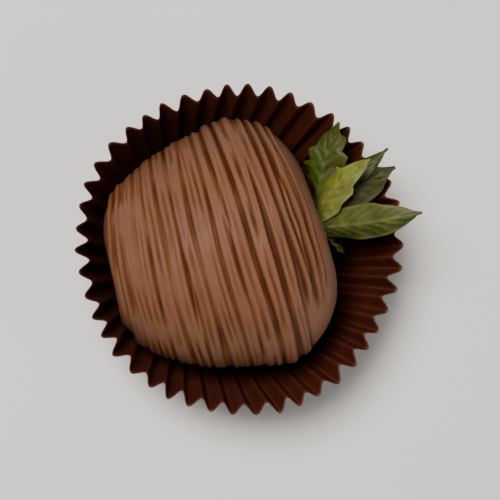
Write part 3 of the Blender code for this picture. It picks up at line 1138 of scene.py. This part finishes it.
def case_point(radius, height, angle):
    """A point of the fluted wall at a radius, height and angle."""
    share = height / CASE_HEIGHT
    depth = FLUTE_DEPTH_BASE + (FLUTE_DEPTH_RIM - FLUTE_DEPTH_BASE) * share
    depth *= 1 + waves(DEPTH_WAVES, angle)
    flute = depth * math.sin(flute_phase(angle, share))
    out = radius + flute + RIM_UNEVENNESS * share * waves(WALL_WAVES, angle)
    rise = RIM_UNEVENNESS * share**RIM_WAVE_CURVE * waves(RIM_WAVES, angle)
    return Vector((out * math.cos(angle), out * math.sin(angle), height + rise))


def case_shape(paper):
    """The case as one thin sheet: a flat base that turns up into the fluted wall."""
    flat = CASE_BASE_RADIUS - BASE_MARGIN
    bottom = paper / 2
    foot = CASE_BASE_RADIUS - CASE_THICKNESS / 2
    slope = (CASE_RIM_RADIUS - CASE_BASE_RADIUS) / CASE_HEIGHT
    section = [(0, 0, bottom), (flat / 2, 0, bottom), (flat, 0, bottom)]
    for row in range(CASE_ROWS + 1):
        height = bottom + (CASE_HEIGHT - bottom) * (row / CASE_ROWS)
        section.append((foot + slope * height, 0, height))
    shape = spin_shape(section, (0, 0, 1), CASE_FLUTES * STEPS_PER_FLUTE)
    fold = shape.verts.layers.float.new("fold")
    for vert in shape.verts:
        radius = math.hypot(vert.co.x, vert.co.y)
        if radius < WALL_FROM:
            continue
        angle = math.atan2(vert.co.y, vert.co.x)
        phase = flute_phase(angle, vert.co.z / CASE_HEIGHT)
        vert[fold] = abs(math.sin(phase)) ** FOLD_SHARPNESS
        vert.co = case_point(radius, vert.co.z, angle)
    bmesh.ops.recalc_face_normals(shape, faces=shape.faces)
    return shape


class STRAWBERRY_OT_case(bpy.types.Operator):
    """Make the fluted paper case"""

    bl_idname = "strawberry.case"
    bl_label = "Paper case"

    def execute(self, context):
        settings = context.scene.strawberry_case
        paper = settings.paper_thickness
        case = add_piece("fluted_case", case_shape(paper), paper_material(settings), paper)
        dress(case, "paper_case")
        return {"FINISHED"}


# The stage


def add_area_light(name, place, aim, size, power, colour):
    """A round soft light at a place, turned to its aim."""
    data = bpy.data.lights.new(name, "AREA")
    data.shape = "DISK"
    data.size = size
    data.energy = power
    data.color = colour
    lamp = bpy.data.objects.new(name, data)
    lamp.location = place
    lamp.rotation_euler = (aim - place).to_track_quat("-Z", "Y").to_euler()
    bpy.context.scene.collection.objects.link(lamp)


def light_room(scene, strength):
    """Even light from a pale room all round."""
    world = bpy.data.worlds.new("soft_room")
    world.use_nodes = True
    room = world.node_tree.nodes["Background"]
    feed(world.node_tree, room, {"Color": opaque(ROOM_COLOUR), "Strength": strength})
    scene.world = world


def add_camera(scene, aim, back, up, settings):
    """The camera, back from its aim and with this way up."""
    data = bpy.data.cameras.new("camera")
    data.sensor_width = SENSOR_WIDTH
    data.lens = data.sensor_width * settings.distance / settings.view_width
    data.clip_start = NEAREST_SEEN
    camera = bpy.data.objects.new("camera", data)
    camera_up = (up - up.dot(back) * back).normalized()
    axes = Matrix((camera_up.cross(back), camera_up, back)).transposed().to_4x4()
    camera.matrix_world = Matrix.Translation(aim + settings.distance * back) @ axes
    scene.collection.objects.link(camera)
    scene.camera = camera


class STRAWBERRY_OT_stage(bpy.types.Operator):
    """Make the floor, the soft light and the camera"""

    bl_idname = "strawberry.stage"
    bl_label = "Stage"

    def execute(self, context):
        scene = context.scene
        settings = scene.strawberry_stage
        picture = Matrix.Rotation(-PICTURE_TURN, 3, "Z")
        aim = picture @ Vector(AIM)
        key = aim + picture @ Vector(KEY_PLACE)
        fill = aim + picture @ Vector(FILL_PLACE)
        back = (picture @ Vector(CAMERA_BACK)).normalized()

        shape = bmesh.new()
        bmesh.ops.create_grid(
            shape, x_segments=FLOOR_GRID, y_segments=FLOOR_GRID, size=FLOOR_SIZE
        )
        floor = add_piece("floor", shape, floor_material(settings))

        add_area_light("key", key, aim, KEY_SIZE, settings.key_power, KEY_COLOUR)
        add_area_light("fill", fill, aim, FILL_SIZE, settings.fill_power, FILL_COLOUR)
        light_room(scene, settings.room_strength)
        add_camera(scene, aim, back, picture @ Vector((0, 1, 0)), settings)
        return {"FINISHED"}


# The add-on


class STRAWBERRY_PT_panel(bpy.types.Panel):
    """Lists the pieces and their settings"""

    bl_label = "Strawberry"
    bl_idname = "STRAWBERRY_PT_panel"
    bl_space_type = "VIEW_3D"
    bl_region_type = "UI"
    bl_category = "Strawberry"

    def draw(self, context):
        for name in SETTINGS:
            settings = getattr(context.scene, f"strawberry_{name}")
            column = self.layout.box().column()
            for setting in settings.__annotations__:
                column.prop(settings, setting)
            column.operator(f"strawberry.{name}")


SETTINGS = {
    "stage": StageSettings,
    "coat": CoatSettings,
    "crown": CrownSettings,
    "case": CaseSettings,
}
CLASSES = (
    *SETTINGS.values(),
    STRAWBERRY_OT_stage,
    STRAWBERRY_OT_coat,
    STRAWBERRY_OT_crown,
    STRAWBERRY_OT_case,
    STRAWBERRY_PT_panel,
)


def register():
    """Register the classes and give the scene its settings."""
    for entry in CLASSES:
        bpy.utils.register_class(entry)
    for name, settings in SETTINGS.items():
        pointer = bpy.props.PointerProperty(type=settings)
        setattr(bpy.types.Scene, f"strawberry_{name}", pointer)


def unregister():
    """Take the scene's settings away and unregister the classes."""
    for name in SETTINGS:
        delattr(bpy.types.Scene, f"strawberry_{name}")
    for entry in reversed(CLASSES):
        bpy.utils.unregister_class(entry)


def main():
    """Make every piece in turn."""
    register()
    bpy.ops.strawberry.stage()
    bpy.ops.strawberry.coat()
    bpy.ops.strawberry.crown()
    bpy.ops.strawberry.case()


if __name__ == "__main__":
    main()
